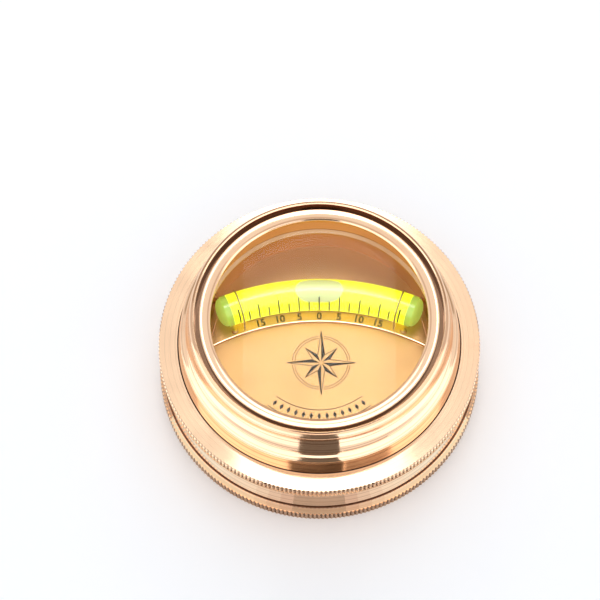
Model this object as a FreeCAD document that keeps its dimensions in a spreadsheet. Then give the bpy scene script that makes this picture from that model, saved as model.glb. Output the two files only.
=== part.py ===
import FreeCAD, Part
import math
import os
import Sketcher
from FreeCAD import Placement, Rotation, Vector

# Desk inclinometer: a curved spirit tube on a round dial, in a turned brass case.
# The origin is on the case's axis at the table, +Z points up through the glass,
# and +Y points from the dial's middle to the crown of the tube.

UP = Vector(0, 0, 1)
ACROSS = Vector(1, 0, 0)
SOME_TURN = Rotation(UP, 45)  # gives a placement its axis; a formula then sets the angle

doc = FreeCAD.newDocument("Inclinometer")
sheet = doc.addObject("Spreadsheet::Sheet", "Sizes")

# Driving sizes, in millimetres and degrees
DRIVING = [
    ("foot_recess", 0.6, "hollow under the base, so that it stands on its rim"),
    ("foot_rim_width", 5.0, "width of the ring that the base stands on"),
    ("foot_chamfer", 0.3, "bevel at the table"),
    ("foot_knurl_top", 3.3, "height of the top of the foot's knurled band"),
    ("foot_step", 0.7, "how far the foot stands out past the flange"),
    ("foot_lip", 0.3, "step in above the foot's knurled band"),
    ("foot_cove_radius", 5.0, "hollow of the slope from the foot to the joint"),
    ("shoulder_height", 6.0, "height of the joint between base and cover"),
    ("shoulder_inset", 0.2, "how far the joint lies inside the flange"),
    ("floor_thickness", 2.6, "floor of the base"),
    ("dial_seat", 11.1, "height of the ledge that carries the dial"),
    ("dial_ledge", 3.6, "width of that ledge"),
    ("packing_thickness", 0.3, "card ring under the dial"),
    ("packing_margin", 0.4, "how far the card ring stays inside the ledge"),
    ("dial_thickness", 2.0, "dial plate"),
    ("dial_clearance", 0.1, "round the dial in the base"),
    ("pin_radius", 0.75, "dowel that keeps the dial from turning"),
    ("pin_depth", 2.4, "dowel's depth in the ledge"),
    ("pin_clearance", 0.03, "round the dowel"),
    ("pin_set_down", 0.2, "dowel's top below the dial's face"),
    ("ring_flange", 1.0, "thickness of the ring that holds the dial down"),
    ("ring_collar", 6.8, "height of that ring's collar"),
    ("ring_wall", 2.3, "wall of the collar"),
    ("ring_bevel", 0.8, "bevel round the collar's inner top edge"),
    ("ring_bevel_drop", 2.2, "height of that bevel"),
    ("ring_inset", 0.6, "how far the collar's bore lies inside the neck's"),
    ("ring_clearance", 0.05, "round the ring's flange in the base"),
    ("collar_clearance", 0.5, "between the collar and the cover"),
    ("spigot_wall", 3.4, "wall of the base where the cover screws on"),
    ("spigot_chamfer", 0.4, "bevel at the spigot's top"),
    ("thread_clearance", 0.1, "between the spigot and the cover, on the radius"),
    ("thread_pitch", 1.5, "thread between base and cover"),
    ("thread_depth", 0.45, "depth of the thread"),
    ("thread_start", 1.5, "first thread above the joint"),
    ("thread_count", 4, "threads cut on each part"),
    ("gasket_thickness", 0.4, "fibre washer in the joint"),
    ("gasket_inset", 0.35, "how far that washer lies inside the skirt"),
    ("gasket_clearance", 0.25, "round the spigot inside that washer"),
    ("seat_gap", 0.05, "gap between parts that turn on each other"),
    ("skirt_wall", 2.4, "wall of the cover's skirt"),
    ("skirt_inset", 0.5, "how far the skirt lies inside the flange"),
    ("flare_height", 1.4, "height of the flare under the flange"),
    ("flare_radius", 2.2, "hollow of that flare"),
    ("flange_knurl_height", 3.0, "height of the flange's knurled band"),
    ("flange_edge", 0.25, "bevel at the flange's top edge"),
    ("ceiling_gap", 0.8, "between the spigot's top and the cover"),
    ("flange_thickness", 2.8, "cover's thickness at the flange's edge"),
    ("flange_width", 4.85, "width of the flange round the neck"),
    ("neck_low_height", 4.7, "neck's lower wall, above the flange's edge"),
    ("neck_batter", 0.75, "how far that wall leans in"),
    ("neck_bead_height", 1.9, "height of the bead on the neck"),
    ("neck_bead_inset", 1.1, "how far the bead rolls in"),
    ("neck_bead_radius", 2.3, "roundness of the bead"),
    ("neck_fillet_height", 1.0, "small step above the bead"),
    ("neck_fillet_inset", 0.5, "width of that step"),
    ("neck_fillet_radius", 0.9, "hollow of that step"),
    ("neck_waist", 1.2, "how far the neck leans in above the step"),
    ("neck_waist_radius", 20.0, "hollow of the upper neck"),
    ("neck_top_wall", 1.3, "wall of the neck at its top"),
    ("neck_crest_height", 1.7, "height of the rounded top of the neck"),
    ("neck_crest_radius", 1.8, "roundness of the top of the neck"),
    ("crystal_radius", 30.0, "glass disc"),
    ("crystal_thickness", 2.0, "glass disc"),
    ("crystal_bevel", 0.2, "ground edge of the glass"),
    ("crystal_clearance", 0.3, "round the glass in the neck"),
    ("crystal_shelf", 1.4, "width of the shelf that carries the glass"),
    ("shelf_thickness", 4.4, "neck below that shelf"),
    ("crystal_packing", 0.5, "rubber ring under the glass"),
    ("crystal_packing_gap", 0.15, "round that ring"),
    ("slip_thickness", 0.2, "fibre ring between the glass and the bezel"),
    ("slip_width", 2.2, "width of that ring"),
    ("bezel_clearance", 0.05, "round the bezel in the neck"),
    ("bezel_height", 2.15, "bezel's body"),
    ("groove_width", 1.3, "dark groove between the neck and the bezel's lip"),
    ("groove_depth", 2.2, "depth of that groove under the neck's top"),
    ("lip_height", 1.3, "bezel's lip above the groove's floor"),
    ("lip_width", 2.6, "slope of the lip, across"),
    ("lip_fall", 0.7, "slope of the lip, down towards the glass"),
    ("lip_crest_radius", 4.5, "roundness of the lip"),
    ("lip_edge", 0.4, "thickness of the lip's inner edge"),
    ("lip_overhang", 0.9, "how far the lip's edge overhangs"),
    ("arc_radius", 61.0, "radius to which the tube is bent, to its centreline"),
    ("crown_share", 0.4311, "crown of the tube from the dial's middle, as a share of the collar's bore"),
    ("tube_radius", 4.0, "glass tube, outside"),
    ("tube_wall", 0.8, "glass tube"),
    ("tube_end_inset", 4.47, "ends of the tube's centreline in from the collar's bore, across"),
    ("seal_bulge", 1.8, "dome of the seal outside the tube"),
    ("seal_inset", 0.3, "dome's edge inside the tube's outside"),
    ("seal_plug", 1.6, "seal's depth inside the tube"),
    ("fill_gap", 0.05, "between what is in the tube and its bore"),
    ("level_height", 0.3, "spirit's level above the tube's centreline"),
    ("bubble_gap", 0.1, "between the bubble and what is round it"),
    ("bubble_half_length", 5.96, "half of the bubble's length"),
    ("fill_end_gap", 0.1, "angle between the spirit and the seal"),
    ("channel_end", 0.7, "angle between the end of the bubble's way and the seal"),
    ("bed_inset", 5.0, "angle of the cement bed's end from the tube's end"),
    ("bed_width", 5.0, "cement bed under the tube"),
    ("bed_height", 0.9, "cement bed under the tube"),
    ("tube_lift", 0.12, "lowest point of the tube above the scale strip"),
    ("strip_thickness", 0.6, "brass scale strip"),
    ("strip_width", 10.8, "brass scale strip"),
    ("strip_clearance", 0.5, "between the strip's ends and the collar"),
    ("strip_sweep", 45.0, "half angle of the band from which the strip's ends are trimmed"),
    ("rivet_radius", 0.5, "rivet's shank"),
    ("rivet_head_radius", 0.85, "rivet's head"),
    ("rivet_head_height", 0.4, "rivet's head"),
    ("rivet_clearance", 0.02, "round the rivet"),
    ("rivet_edge", 1.35, "rivet's place from the strip's edge"),
    ("rivet_inset", 1.2, "angle of the rivets from the tube's ends"),
    ("wire_radius", 0.2, "binding wire over the tube"),
    ("wire_gap", 0.05, "between the wire and the tube"),
    ("wire_hole_clearance", 0.1, "round the wire in the dial"),
    ("wire_tail", 1.2, "wire's bent end under the dial"),
    ("tie_inset", 3.8, "angle of the wires from the tube's ends"),
    ("knurl_teeth", 240, "teeth round each knurled edge"),
    ("knurl_depth", 0.4, "depth of the teeth"),
    ("knurl_share", 0.8, "share of the pitch that each notch takes"),
    ("overrun", 1.0, "how far a cutting shape runs past what it cuts"),
]

# Sizes that follow from the driving ones
WORKED_OUT = [
    ("seat_bore", "crystal_radius + crystal_clearance"),
    ("neck_bore", "seat_bore - crystal_shelf"),
    ("neck_top_radius", "seat_bore + neck_top_wall"),
    ("neck_step_radius", "neck_top_radius + neck_waist"),
    ("neck_bead_top_radius", "neck_step_radius + neck_fillet_inset"),
    ("neck_low_radius", "neck_bead_top_radius + neck_bead_inset"),
    ("neck_root_radius", "neck_low_radius + neck_batter"),
    ("flange_radius", "neck_root_radius + flange_width"),
    ("flange_top_radius", "flange_radius - flange_edge"),
    ("skirt_radius", "flange_radius - skirt_inset"),
    ("skirt_bore", "skirt_radius - skirt_wall"),
    ("spigot_radius", "skirt_bore - thread_clearance"),
    ("spigot_top_radius", "spigot_radius - spigot_chamfer"),
    ("dial_bore", "spigot_radius - spigot_wall"),
    ("cup_radius", "dial_bore - dial_ledge"),
    ("dial_radius", "dial_bore - dial_clearance"),
    ("ring_radius", "dial_bore - ring_clearance"),
    ("ring_bore", "neck_bore - ring_inset"),
    ("ring_bevel_radius", "ring_bore + ring_bevel"),
    ("collar_radius", "ring_bore + ring_wall"),
    ("counterbore", "collar_radius + collar_clearance"),
    ("foot_radius", "flange_radius + foot_step"),
    ("foot_edge_radius", "foot_radius - foot_chamfer"),
    ("foot_rim_radius", "foot_edge_radius - foot_rim_width"),
    ("foot_lip_radius", "foot_radius - foot_lip"),
    ("shoulder_radius", "flange_radius - shoulder_inset"),
    ("floor_top", "foot_recess + floor_thickness"),
    ("packing_top", "dial_seat + packing_thickness"),
    ("packing_outer", "dial_bore - packing_margin"),
    ("packing_inner", "cup_radius + packing_margin"),
    ("dial_top", "packing_top + dial_thickness"),
    ("pin_offset", "(dial_bore + cup_radius) / 2"),
    ("pin_hole", "pin_radius + pin_clearance"),
    ("pin_foot", "dial_seat - pin_depth"),
    ("pin_top", "dial_top - pin_set_down"),
    ("ring_flange_top", "dial_top + ring_flange"),
    ("collar_top", "ring_flange_top + ring_collar"),
    ("ring_bevel_foot", "collar_top - ring_bevel_drop"),
    ("spigot_shoulder", "ring_flange_top - spigot_chamfer"),
    ("first_thread", "shoulder_height + thread_start"),
    ("thread_half", "thread_pitch / 4"),
    ("spigot_root", "spigot_radius - thread_depth"),
    ("skirt_root", "skirt_bore + thread_depth"),
    ("gasket_top", "shoulder_height + gasket_thickness"),
    ("gasket_outer", "skirt_radius - gasket_inset"),
    ("gasket_inner", "spigot_radius + gasket_clearance"),
    ("cover_bottom", "gasket_top + seat_gap"),
    ("cover_ceiling", "ring_flange_top + ceiling_gap"),
    ("flange_top", "cover_ceiling + flange_thickness"),
    ("flange_edge_height", "flange_top - flange_edge"),
    ("flange_knurl_foot", "flange_top - flange_knurl_height"),
    ("skirt_top", "flange_knurl_foot - flare_height"),
    ("counterbore_top", "collar_top + collar_clearance"),
    ("shelf_height", "counterbore_top + shelf_thickness"),
    ("crystal_packing_top", "shelf_height + crystal_packing"),
    ("crystal_packing_inner", "neck_bore + crystal_packing_gap"),
    ("crystal_packing_outer", "seat_bore - crystal_packing_gap"),
    ("crystal_foot", "crystal_packing_top"),
    ("crystal_top", "crystal_foot + crystal_thickness"),
    ("crystal_edge_radius", "crystal_radius - crystal_bevel"),
    ("crystal_edge_foot", "crystal_foot + crystal_bevel"),
    ("crystal_edge_top", "crystal_top - crystal_bevel"),
    ("slip_top", "crystal_top + slip_thickness"),
    ("slip_inner", "crystal_radius - slip_width"),
    ("bezel_foot", "slip_top + seat_gap"),
    ("bezel_radius", "seat_bore - bezel_clearance"),
    ("groove_floor", "bezel_foot + bezel_height"),
    ("lip_radius", "seat_bore - groove_width"),
    ("lip_top", "groove_floor + lip_height"),
    ("sight_radius", "lip_radius - lip_width"),
    ("lip_edge_top", "lip_top - lip_fall"),
    ("lip_edge_foot", "lip_edge_top - lip_edge"),
    ("bezel_bore", "sight_radius + lip_overhang"),
    ("bezel_bore_top", "lip_edge_foot - lip_overhang"),
    ("neck_top", "groove_floor + groove_depth"),
    ("neck_crest_foot", "neck_top - neck_crest_height"),
    ("neck_low_top", "flange_top + neck_low_height"),
    ("neck_bead_top", "neck_low_top + neck_bead_height"),
    ("neck_step_top", "neck_bead_top + neck_fillet_height"),
    ("crown_offset", "ring_bore * crown_share"),
    ("arc_centre", "crown_offset - arc_radius"),
    ("tube_half_angle", "asin((ring_bore - tube_end_inset) / arc_radius) / (1 deg)"),
    ("bed_angle", "tube_half_angle - bed_inset"),
    ("rivet_angle", "tube_half_angle - rivet_inset"),
    ("tie_angle", "tube_half_angle - tie_inset"),
    ("strip_top", "dial_top + strip_thickness"),
    ("strip_inner", "arc_radius - strip_width / 2"),
    ("strip_outer", "arc_radius + strip_width / 2"),
    ("strip_reach", "ring_bore - strip_clearance"),
    ("tube_height", "strip_top + tube_lift + tube_radius"),
    ("tube_bore", "tube_radius - tube_wall"),
    ("fill_radius", "tube_bore - fill_gap"),
    ("seal_radius", "tube_radius - seal_inset"),
    ("bubble_radius", "tube_bore - bubble_gap"),
    ("plug_angle", "seal_plug / arc_radius * 180 / pi"),
    ("bubble_angle", "bubble_half_length / arc_radius * 180 / pi"),
    ("channel_angle", "tube_half_angle - plug_angle - channel_end"),
    ("arch_radius", "tube_radius + wire_gap + wire_radius"),
    ("tail_height", "packing_top - wire_radius - wire_gap"),
    ("wire_hole", "wire_radius + wire_hole_clearance"),
    ("rivet_hole", "rivet_radius + rivet_clearance"),
    ("rivet_inner", "strip_inner + rivet_edge"),
    ("rivet_outer", "strip_outer - rivet_edge"),
    ("foot_knurl_half", "pi * foot_radius / knurl_teeth * knurl_share"),
    ("foot_knurl_root", "foot_radius - knurl_depth"),
    ("flange_knurl_half", "pi * flange_radius / knurl_teeth * knurl_share"),
    ("flange_knurl_root", "flange_radius - knurl_depth"),
]

row = 1
for alias, size, meaning in DRIVING:
    sheet.set(f"A{row}", meaning)
    sheet.set(f"B{row}", str(size))
    sheet.setAlias(f"B{row}", alias)
    row += 1
for alias, formula in WORKED_OUT:
    sheet.set(f"A{row}", alias.replace("_", " "))
    sheet.set(f"B{row}", "=" + formula)
    sheet.setAlias(f"B{row}", alias)
    row += 1
doc.recompute()


def size(alias):
    """The present value of one cell of the sheet."""
    return float(sheet.get(alias))


def bind(item, setting, formula):
    """Tie one setting of an object to the sheet; words of the formula are its aliases."""
    words = formula.replace("(", " ( ").replace(")", " ) ").split()
    tied = ["Sizes." + word if word.isidentifier() and word not in ("sin", "cos") else word for word in words]
    item.setExpression(setting, " ".join(tied).replace("sin (", "sin(").replace("cos (", "cos("))


def new_body(label):
    body = doc.addObject("PartDesign::Body", label)
    body.Label = label
    return body


def new_sketch(body, name, role, height=None):
    """A sketch on one of the body's own planes, raised to a height where one is given."""
    sketch = body.newObject("Sketcher::SketchObject", name)
    plane = next(item for item in body.Origin.OriginFeatures if item.Role == role)
    sketch.AttachmentSupport = [(plane, "")]
    sketch.MapMode = "FlatFace"
    if height:
        bind(sketch, "AttachmentOffset.Base.z", height)
    return sketch


def tie_corner(sketch, line, point, axis, word):
    """Hold one coordinate of a point at a cell of the sheet, or on the axis for 0."""
    if word == 0:
        sketch.addConstraint(Sketcher.Constraint("PointOnObject", line, point, -2 if axis == "X" else -1))
        return
    sign = -1 if word.startswith("-") else 1
    alias = word.lstrip("-")
    index = sketch.addConstraint(Sketcher.Constraint("Distance" + axis, line, point, sign * size(alias)))
    name = f"{axis}{line}_{point}_{alias}"
    sketch.renameConstraint(index, name)
    sketch.setExpression("Constraints." + name, ("-" if sign < 0 else "") + "Sizes." + alias)


def place_of(word):
    if word == 0:
        return 0.0
    return -size(word.lstrip("-")) if word.startswith("-") else size(word)


def arc_between(start, end, radius, turn):
    """The arc from start to end; turn is 1 where it runs anticlockwise and -1 where it doesn't."""
    chord = end - start
    half = chord.Length / 2
    rise = math.sqrt(radius * radius - half * half)
    normal = Vector(-chord.y, chord.x, 0).normalize()
    centre = start + chord * 0.5 + normal * rise * turn
    first, last = (start, end) if turn > 0 else (end, start)
    low = math.atan2(first.y - centre.y, first.x - centre.x)
    high = math.atan2(last.y - centre.y, last.x - centre.x)
    return Part.ArcOfCircle(Part.Circle(centre, UP, radius), low, high)


def closed_outline(sketch, corners):
    """A closed outline. A corner is (across, up), or (across, up, radius, turn) where an arc leads on from it."""
    spots = [Vector(place_of(corner[0]), place_of(corner[1]), 0) for corner in corners]
    count = len(corners)
    ends = []
    for index, corner in enumerate(corners):
        start, end = spots[index], spots[(index + 1) % count]
        if len(corner) == 2:
            sketch.addGeometry(Part.LineSegment(start, end), False)
            ends.append((1, 2))
        else:
            sketch.addGeometry(arc_between(start, end, size(corner[2]), corner[3]), False)
            ends.append((1, 2) if corner[3] > 0 else (2, 1))
    for index in range(count):
        after = (index + 1) % count
        sketch.addConstraint(Sketcher.Constraint("Coincident", index, ends[index][1], after, ends[after][0]))
    for index, corner in enumerate(corners):
        before = corners[index - 1]
        straight = len(before) == 2 and index > 0
        if straight and before[0] == corner[0]:
            sketch.addConstraint(Sketcher.Constraint("Vertical", index - 1))
        else:
            tie_corner(sketch, index, ends[index][0], "X", corner[0])
        if straight and before[1] == corner[1]:
            sketch.addConstraint(Sketcher.Constraint("Horizontal", index - 1))
        else:
            tie_corner(sketch, index, ends[index][0], "Y", corner[1])
        if len(corner) > 2:
            bend = sketch.addConstraint(Sketcher.Constraint("Radius", index, size(corner[2])))
            sketch.renameConstraint(bend, f"bend_{index}")
            sketch.setExpression(f"Constraints.bend_{index}", "Sizes." + corner[2])


def turned(label, corners):
    """A piece turned on the lathe: its half section spun round the case's axis."""
    body = new_body(label)
    sketch = new_sketch(body, label + "_section", "XZ_Plane")
    closed_outline(sketch, corners)
    spin = body.newObject("PartDesign::Revolution", label + "_turning")
    spin.Profile = sketch
    spin.ReferenceAxis = (sketch, ["V_Axis"])
    spin.Angle = 360
    doc.recompute()
    return body


def cut_threads(body, name, crest, root):
    """Thread grooves: one turned notch, repeated at the pitch."""
    sketch = new_sketch(body, name + "_section", "XZ_Plane")
    heights = [place_of("first_thread") + share * size("thread_half") for share in (-1, 0, 1)]
    spots = [
        Vector(size(crest), heights[0], 0),
        Vector(size(root), heights[1], 0),
        Vector(size(crest), heights[2], 0),
    ]
    for index in range(3):
        sketch.addGeometry(Part.LineSegment(spots[index], spots[(index + 1) % 3]), False)
    for index in range(3):
        sketch.addConstraint(Sketcher.Constraint("Coincident", index, 2, (index + 1) % 3, 1))
    for index, alias in enumerate((crest, root, crest)):
        tie_corner(sketch, index, 1, "X", alias)
    for index, share in enumerate(("- Sizes.thread_half", "", "+ Sizes.thread_half")):
        height = sketch.addConstraint(Sketcher.Constraint("DistanceY", index, 1, heights[index]))
        sketch.renameConstraint(height, f"level_{index}")
        sketch.setExpression(f"Constraints.level_{index}", "Sizes.first_thread " + share)
    notch = body.newObject("PartDesign::Groove", name)
    notch.Profile = sketch
    notch.ReferenceAxis = (sketch, ["V_Axis"])
    notch.Angle = 360
    doc.recompute()
    thread = body.newObject("PartDesign::LinearPattern", name + "_thread")
    thread.Originals = [notch]
    thread.Direction = (sketch, ["V_Axis"])
    thread.Mode = "Spacing"
    bind(thread, "Offset", "thread_pitch")
    bind(thread, "Occurrences", "thread_count")
    body.Tip = thread
    doc.recompute()


def cut_knurl(body, name, rim, root, half, top, height):
    """A knurled edge: one notch with sloping sides, cut down from the top and repeated round the rim."""
    sketch = new_sketch(body, name + "_section", "XY_Plane", top)
    closed_outline(sketch, [(rim, "-" + half), (rim, half), (root, 0)])
    notch = body.newObject("PartDesign::Pocket", name)
    notch.Profile = sketch
    bind(notch, "Length", height)
    doc.recompute()
    knurl = body.newObject("PartDesign::PolarPattern", name + "_knurl")
    knurl.Originals = [notch]
    knurl.Axis = (sketch, ["N_Axis"])
    knurl.Angle = 360
    bind(knurl, "Occurrences", "knurl_teeth")
    body.Tip = knurl
    doc.recompute()


def rod(label, radius, foot, length, across=None, along=None):
    """An upright cylinder; its place across and along the dial is a formula."""
    item = doc.addObject("Part::Cylinder", label)
    item.Label = label
    bind(item, "Radius", radius)
    bind(item, "Height", length)
    bind(item, "Placement.Base.z", foot)
    if across:
        bind(item, "Placement.Base.x", across)
    if along:
        bind(item, "Placement.Base.y", along)
    return item


def bent_rod(label, radius, half_angle, height="tube_height"):
    """A round rod bent to the tube's arc, centred on its crown."""
    item = doc.addObject("Part::Torus", label)
    item.Label = label
    bind(item, "Radius1", "arc_radius")
    bind(item, "Radius2", radius)
    bind(item, "Angle3", f"2 * ( {half_angle} )")
    item.Placement = Placement(Vector(0, 0, 0), SOME_TURN)
    bind(item, "Placement.Rotation.Angle", f"90 - ( {half_angle} )")
    bind(item, "Placement.Base.y", "arc_centre")
    bind(item, "Placement.Base.z", height)
    return item


def bent_slab(label, inner, outer, foot, height, half_angle):
    """A flat strip bent to the tube's arc, centred on its crown."""
    whole = doc.addObject("Part::Cylinder", label + "_sector")
    core = doc.addObject("Part::Cylinder", label + "_core")
    for item, radius in ((whole, outer), (core, inner)):
        item.Placement = Placement(Vector(0, 0, 0), SOME_TURN)
        bind(item, "Radius", radius)
        bind(item, "Height", height)
        bind(item, "Angle", f"2 * ( {half_angle} )")
        bind(item, "Placement.Rotation.Angle", f"90 - ( {half_angle} )")
        bind(item, "Placement.Base.y", "arc_centre")
        bind(item, "Placement.Base.z", foot)
    return cut(label, whole, core)


def cut(label, base, tool):
    item = doc.addObject("Part::Cut", label)
    item.Label = label
    item.Base = base
    item.Tool = tool
    return item


def common(label, base, tool):
    item = doc.addObject("Part::Common", label)
    item.Label = label
    item.Base = base
    item.Tool = tool
    return item


def joined(label, items):
    item = doc.addObject("Part::MultiFuse", label)
    item.Label = label
    item.Shapes = items
    return item


def along_arc(radius, angle, side):
    """Formulas for a place on the dial at a radius from the arc's centre, to the left or right."""
    across = f"{side} * {radius} * sin ( {angle} )"
    along = f"arc_centre + {radius} * cos ( {angle} )"
    return across, along


# Base: a turned cup with a knurled foot, a ledge for the dial and a threaded spigot
base_case = turned("base_case", [
    (0, "foot_recess"),
    ("foot_rim_radius", "foot_recess"),
    ("foot_rim_radius", 0),
    ("foot_edge_radius", 0),
    ("foot_radius", "foot_chamfer"),
    ("foot_radius", "foot_knurl_top"),
    ("foot_lip_radius", "foot_knurl_top", "foot_cove_radius", -1),
    ("shoulder_radius", "shoulder_height"),
    ("spigot_radius", "shoulder_height"),
    ("spigot_radius", "spigot_shoulder"),
    ("spigot_top_radius", "ring_flange_top"),
    ("dial_bore", "ring_flange_top"),
    ("dial_bore", "dial_seat"),
    ("cup_radius", "dial_seat"),
    ("cup_radius", "floor_top"),
    (0, "floor_top"),
])
dowel_mouth = new_sketch(base_case, "dowel_mouth", "XY_Plane", "dial_seat")
dowel_mouth.addGeometry(Part.Circle(Vector(0, -size("pin_offset"), 0), UP, size("pin_hole")), False)
dowel_mouth.addConstraint(Sketcher.Constraint("PointOnObject", 0, 3, -2))
tie_corner(dowel_mouth, 0, 3, "Y", "-pin_offset")
dowel_bore = dowel_mouth.addConstraint(Sketcher.Constraint("Radius", 0, size("pin_hole")))
dowel_mouth.renameConstraint(dowel_bore, "dowel_bore")
dowel_mouth.setExpression("Constraints.dowel_bore", "Sizes.pin_hole")
dowel_hole = base_case.newObject("PartDesign::Pocket", "dowel_hole")
dowel_hole.Profile = dowel_mouth
bind(dowel_hole, "Length", "pin_depth")
doc.recompute()
cut_threads(base_case, "spigot_notch", "spigot_radius", "spigot_root")
cut_knurl(base_case, "foot_notch", "foot_radius", "foot_knurl_root", "foot_knurl_half",
          "foot_knurl_top", "foot_knurl_top")

# Fibre washer in the joint between base and cover
case_gasket = turned("case_gasket", [
    ("gasket_inner", "shoulder_height"),
    ("gasket_outer", "shoulder_height"),
    ("gasket_outer", "gasket_top"),
    ("gasket_inner", "gasket_top"),
])

# Card ring on the ledge, under the dial, with a hole for the dowel
packing_blank = turned("packing_blank", [
    ("packing_inner", "dial_seat"),
    ("packing_outer", "dial_seat"),
    ("packing_outer", "packing_top"),
    ("packing_inner", "packing_top"),
])
packing_hole = rod("packing_hole", "pin_hole", "pin_foot", "pin_top - pin_foot", None, "0 - pin_offset")
dial_packing_ring = cut("dial_packing_ring", packing_blank, packing_hole)

# Dowel that keeps the dial square to the case
dial_locating_pin = rod("dial_locating_pin", "pin_radius", "pin_foot", "pin_top - pin_foot", None, "0 - pin_offset")

# Dial plate, drilled for the dowel, the rivets and the binding wires
dial_blank = rod("dial_blank", "dial_radius", "packing_top", "dial_thickness")
drills = [rod("dial_pin_drill", "pin_hole", "pin_foot", "dial_top - pin_foot + overrun", None, "0 - pin_offset")]
for side, way in (("left", -1), ("right", 1)):
    for rim, rivet_line, leg_line in (
        ("inner", "rivet_inner", "( arc_radius - arch_radius )"),
        ("outer", "rivet_outer", "( arc_radius + arch_radius )"),
    ):
        spot = along_arc(rivet_line, "rivet_angle", way)
        drills.append(rod(f"rivet_drill_{side}_{rim}", "rivet_hole", "floor_top", "tube_height", *spot))
        spot = along_arc(leg_line, "tie_angle", way)
        drills.append(rod(f"wire_drill_{side}_{rim}", "wire_hole", "floor_top", "tube_height", *spot))
dial_drills = joined("dial_drills", drills)
dial_plate = cut("dial_plate", dial_blank, dial_drills)

# Threaded ring that holds the dial down; its collar is the bright wall round the dial
dial_retaining_ring = turned("dial_retaining_ring", [
    ("ring_bore", "dial_top"),
    ("ring_radius", "dial_top"),
    ("ring_radius", "ring_flange_top"),
    ("collar_radius", "ring_flange_top"),
    ("collar_radius", "collar_top"),
    ("ring_bevel_radius", "collar_top"),
    ("ring_bore", "ring_bevel_foot"),
])

# Brass scale strip under the tube: an arc whose ends follow the collar
strip_band = bent_slab("strip_band", "strip_inner", "strip_outer", "dial_top", "strip_thickness", "strip_sweep")
strip_disc = rod("strip_disc", "strip_reach", "dial_top", "strip_thickness")
strip_blank = common("strip_blank", strip_band, strip_disc)
scale_strip = cut("scale_strip", strip_blank, dial_drills)

# Four rivets through the strip and the dial, each with a head above and a head below
rivets = []
for side, way in (("left", -1), ("right", 1)):
    for rim, rivet_line in (("inner", "rivet_inner"), ("outer", "rivet_outer")):
        spot = along_arc(rivet_line, "rivet_angle", way)
        name = f"rivet_{side}_{rim}"
        shank = rod(name + "_shank", "rivet_radius", "packing_top", "strip_top - packing_top", *spot)
        head = rod(name + "_head", "rivet_head_radius", "strip_top", "rivet_head_height", *spot)
        tail = rod(name + "_tail", "rivet_head_radius", "packing_top - rivet_head_height",
                   "rivet_head_height", *spot)
        rivets.append(joined(name, [shank, head, tail]))
scale_rivets = doc.addObject("Part::Compound", "scale_rivets")
scale_rivets.Label = "scale_rivets"
scale_rivets.Links = rivets

# Curved glass tube
vial_tube = cut(
    "vial_tube",
    bent_rod("tube_outside", "tube_radius", "tube_half_angle"),
    bent_rod("tube_inside", "tube_bore", "tube_half_angle + overrun"),
)

# Resin seals: a plug in each end of the tube with a dome outside
seals = {}
for side, way in (("left", 1), ("right", -1)):
    plug = doc.addObject("Part::Torus", f"seal_plug_{side}")
    bind(plug, "Radius1", "arc_radius")
    bind(plug, "Radius2", "fill_radius")
    bind(plug, "Angle3", "plug_angle")
    plug.Placement = Placement(Vector(0, 0, 0), SOME_TURN)
    start = "90 + tube_half_angle - plug_angle" if way > 0 else "90 - tube_half_angle"
    bind(plug, "Placement.Rotation.Angle", start)
    dome = doc.addObject("Part::Ellipsoid", f"seal_dome_{side}")
    bind(dome, "Radius1", "seal_bulge")
    bind(dome, "Radius2", "seal_radius")
    bind(dome, "Radius3", "seal_radius")
    dome.Angle1 = 0
    lift = Rotation(ACROSS, -90 * way)
    dome.Placement = Placement(Vector(0, 0, 0), lift)
    bind(dome, "Placement.Base.x", "arc_radius")
    holder = doc.addObject("Part::Compound", f"seal_dome_place_{side}")
    holder.Links = [dome]
    holder.Placement = Placement(Vector(0, 0, 0), SOME_TURN)
    bind(holder, "Placement.Rotation.Angle", f"90 + {way} * tube_half_angle")
    seal = joined(f"vial_seal_{side}", [plug, holder])
    bind(seal, "Placement.Base.y", "arc_centre")
    bind(seal, "Placement.Base.z", "tube_height")
    seals[side] = seal

# Spirit: fills the tube between the seals, with a level channel along the top for the bubble
fill = bent_rod("spirit_fill", "fill_radius", "tube_half_angle - plug_angle - fill_end_gap")
channel = bent_slab("bubble_channel", "arc_radius - tube_radius", "arc_radius + tube_radius",
                    "tube_height + level_height", "tube_radius", "channel_angle")
vial_liquid = cut("vial_liquid", fill, channel)

# Bubble: follows the bore above and has a flat underside, as it has while the case lies flat
air = bent_rod("bubble_air", "bubble_radius", "bubble_angle")
above_level = bent_slab("above_level", "arc_radius - tube_radius", "arc_radius + tube_radius",
                        "tube_height + level_height + bubble_gap", "tube_radius", "bubble_angle + overrun")
vial_bubble = common("vial_bubble", air, above_level)

# Cement bed between the tube and the scale strip
bed_block = bent_slab("bed_block", "arc_radius - bed_width / 2", "arc_radius + bed_width / 2",
                      "strip_top", "bed_height", "bed_angle")
vial_bed = cut("vial_bed", bed_block, bent_rod("bed_hollow", "tube_radius", "bed_angle + overrun"))

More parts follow.
